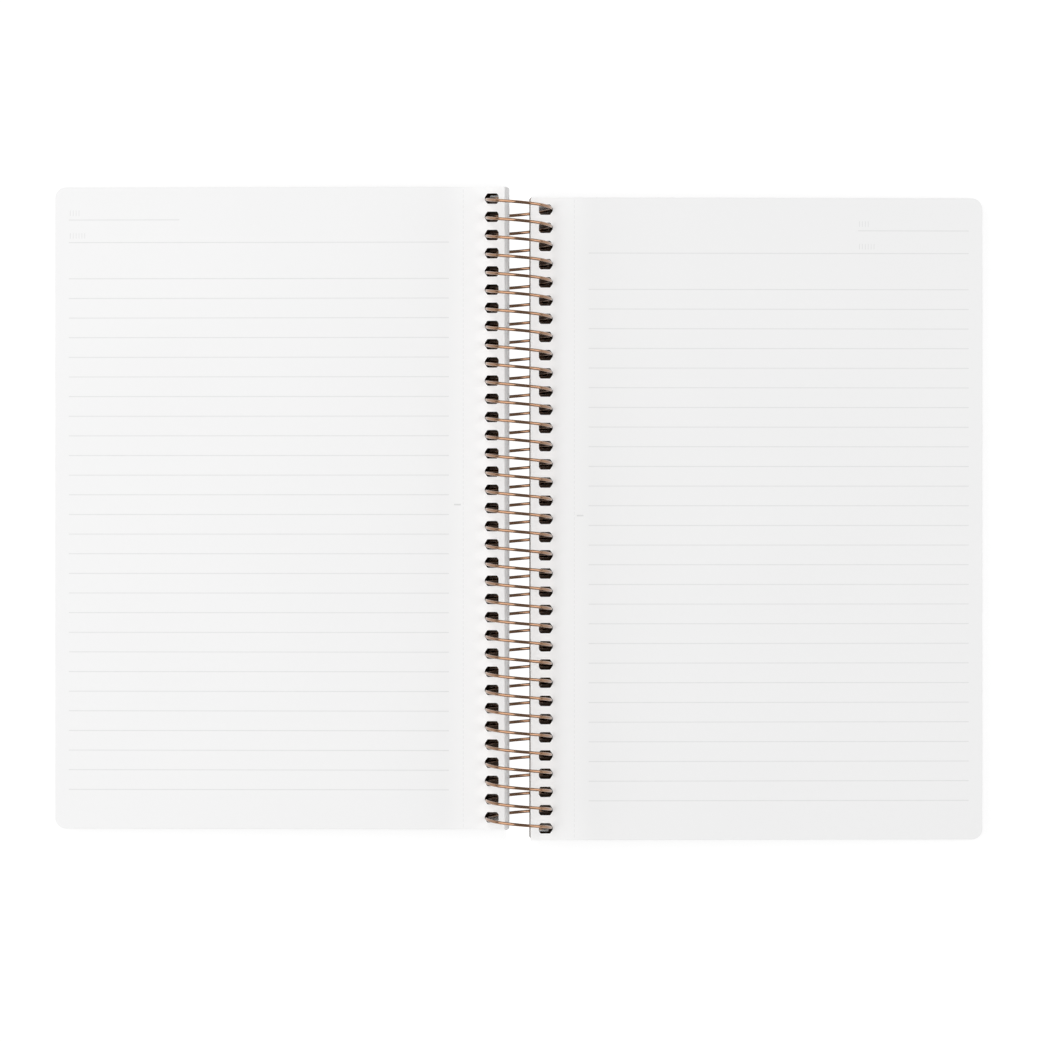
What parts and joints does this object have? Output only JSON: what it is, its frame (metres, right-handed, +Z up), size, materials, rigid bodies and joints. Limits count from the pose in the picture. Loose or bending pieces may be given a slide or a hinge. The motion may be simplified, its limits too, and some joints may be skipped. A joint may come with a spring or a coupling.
{
  "type": "spiral notebook",
  "caption": "Spiral notebook lying open: two stacks of ruled leaves and two card covers on one wire coil that threads a row of punched holes.",
  "frame": {"origin": "on the table, under the middle of the coil", "axes": "+X across the open spread towards the right pages, +Y along the coil towards the head of the pages, +Z up"},
  "size_m": [0.3036, 0.2136, 0.0219],
  "materials": {
    "leaf_paper": "smooth white writing paper with faint grey ruling",
    "cover_card": "stiff dark card, matte",
    "copper_wire": "steel wire with a smooth copper-coloured finish"
  },
  "bodies": {
    "back_cover": {"back_cover": "cover_card"},
    "front_cover": {"front_cover": "cover_card"},
    "coil": {"coil": "copper_wire"},
    "left_pages": {"left_pages": "leaf_paper"},
    "right_pages": {"right_pages": "leaf_paper"}
  },
  "joints": [
    {"name": "front_cover_turn", "type": "hinge", "parent": "back_cover", "child": "front_cover", "pos_m": [0, 0, 0.01094], "axis": [0, 1, 0], "range_deg": [-30, 183]},
    {"name": "coil_turn", "type": "hinge", "parent": "back_cover", "child": "coil", "pos_m": [0, 0, 0.01094], "axis": [0, 1, 0], "range_deg": [-15, 91.5]},
    {"name": "left_pages_creep", "type": "slide", "parent": "front_cover", "child": "left_pages", "axis": [0, -1, 0], "range_m": [-0.00026, 0.00153]},
    {"name": "right_pages_creep", "type": "slide", "parent": "back_cover", "child": "right_pages", "axis": [0, 1, 0], "range_m": [-0.00026, 0.00153]}
  ],
  "couplings": [
    {"joint": "coil_turn", "follows": "front_cover_turn", "ratio": 0.5},
    {"joint": "left_pages_creep", "follows": "front_cover_turn", "m_per_rad": 0.000473},
    {"joint": "right_pages_creep", "follows": "front_cover_turn", "m_per_rad": 0.000473}
  ]
}
